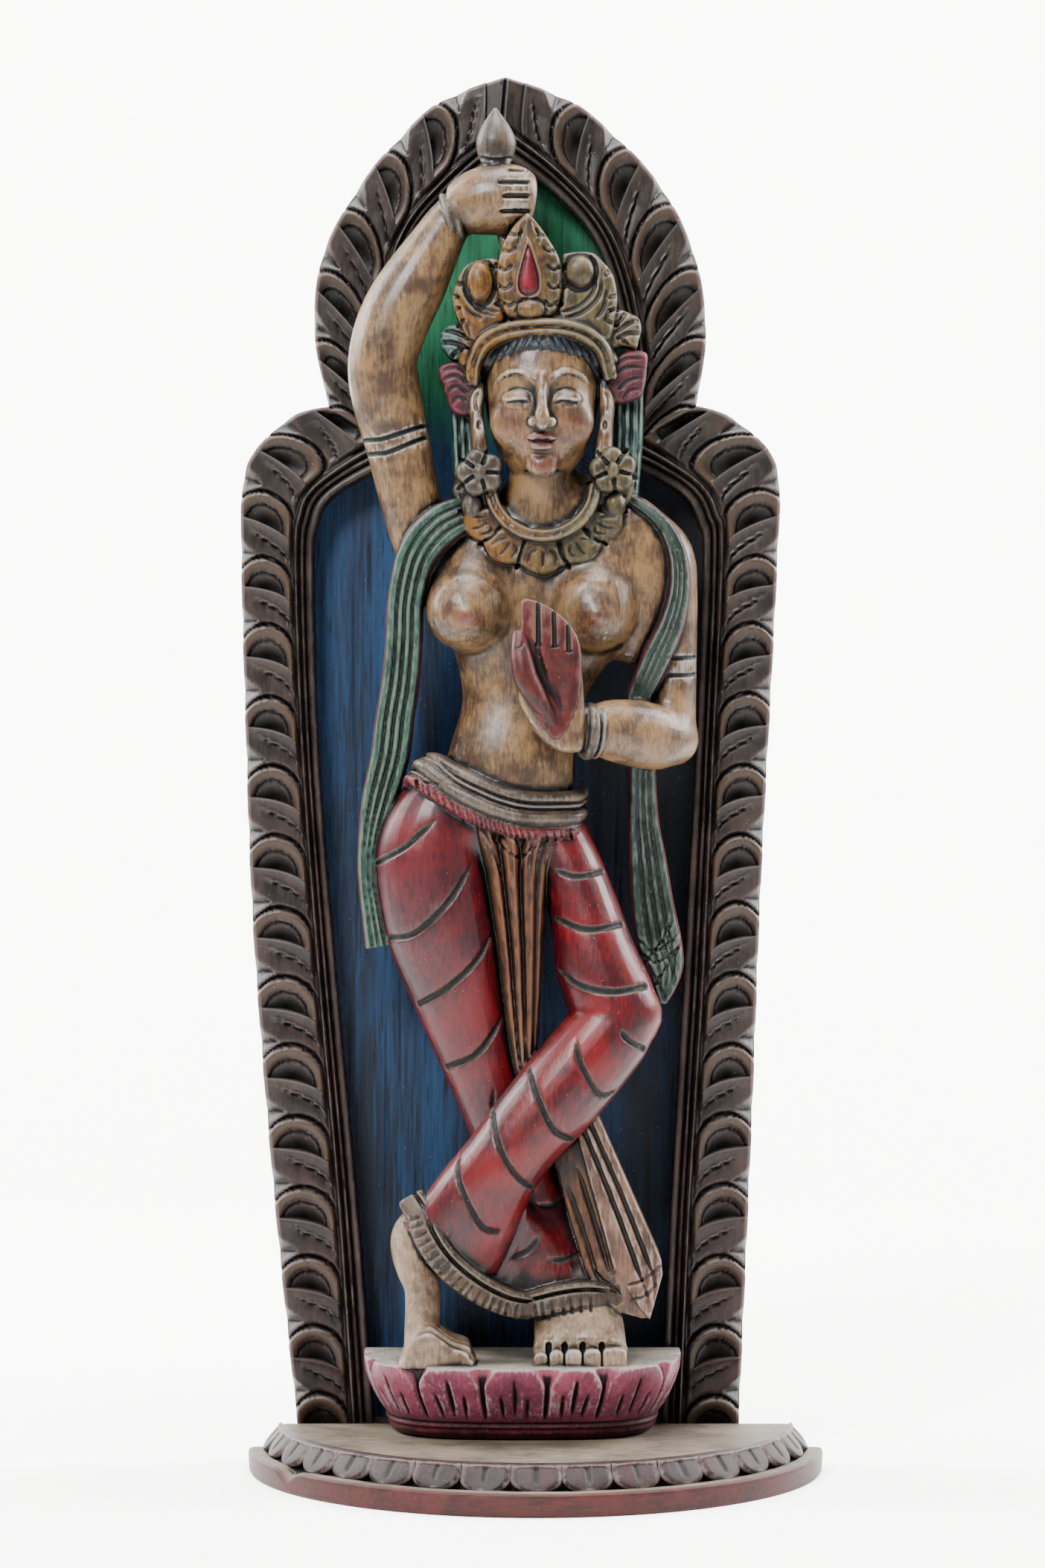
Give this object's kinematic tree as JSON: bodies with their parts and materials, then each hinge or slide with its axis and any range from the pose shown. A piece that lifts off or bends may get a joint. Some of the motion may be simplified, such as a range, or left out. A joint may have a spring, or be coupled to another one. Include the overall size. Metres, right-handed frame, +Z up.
{
  "type": "carved figure of maya devi",
  "caption": "Painted wood carving of a standing goddess holding a branch, on a lotus seat in an arched leaf-border frame with a half-round base.",
  "frame": {"origin": "on the ground, under the middle of the bounding box", "axes": "+Z up, -Y to the front, where the figure looks, +X to the right as seen from the front"},
  "size_m": [0.2551, 0.144, 0.61],
  "materials": {
    "base_board": "worn matt paint, mauve brown and dusty grey",
    "leaf_frame": "dark brown stain with worn paint, traces of ochre and red",
    "back_panel": "open-grained board, worn blue paint, green in the arch",
    "figure_on_lotus": "worn polychrome paint with dark wash and dusting"
  },
  "bodies": {
    "root": {"base_board": "base_board", "leaf_frame": "leaf_frame", "back_panel": "back_panel", "figure_on_lotus": "figure_on_lotus"}
  },
  "joints": []
}
